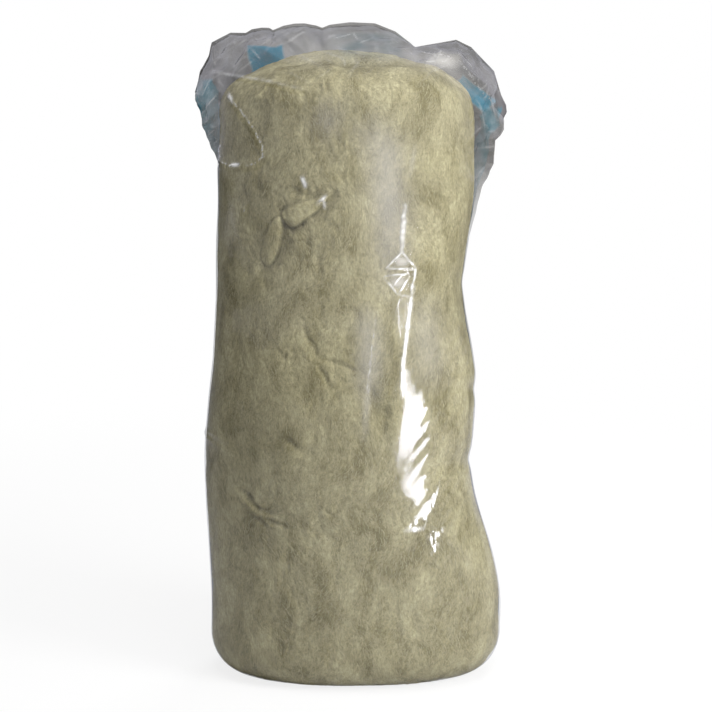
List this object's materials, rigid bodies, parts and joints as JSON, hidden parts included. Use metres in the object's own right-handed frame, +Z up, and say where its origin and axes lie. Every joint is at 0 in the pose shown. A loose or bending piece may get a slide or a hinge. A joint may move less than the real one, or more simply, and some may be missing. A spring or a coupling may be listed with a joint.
{
  "type": "bag of loose mineral wool",
  "caption": "Upright clear film sack filled with loose mineral wool, welded shut across its top, with two drooping corner ears and a settled, flared foot.",
  "frame": {"origin": "on the floor, under the middle of the sack's overall width and depth", "axes": "+Z up, the front of the sack faces -Y, +X to the right as seen from the front"},
  "size_m": [0.56, 0.39, 1.18],
  "materials": {
    "mineral_wool": "matte, fibrous grey-green loose wool",
    "clear_film": "clear wrinkled polyethylene film with a plain pale-blue printed border on the back"
  },
  "bodies": {
    "root": {"wool_fill": "mineral_wool", "film_bag": "clear_film"}
  },
  "joints": []
}
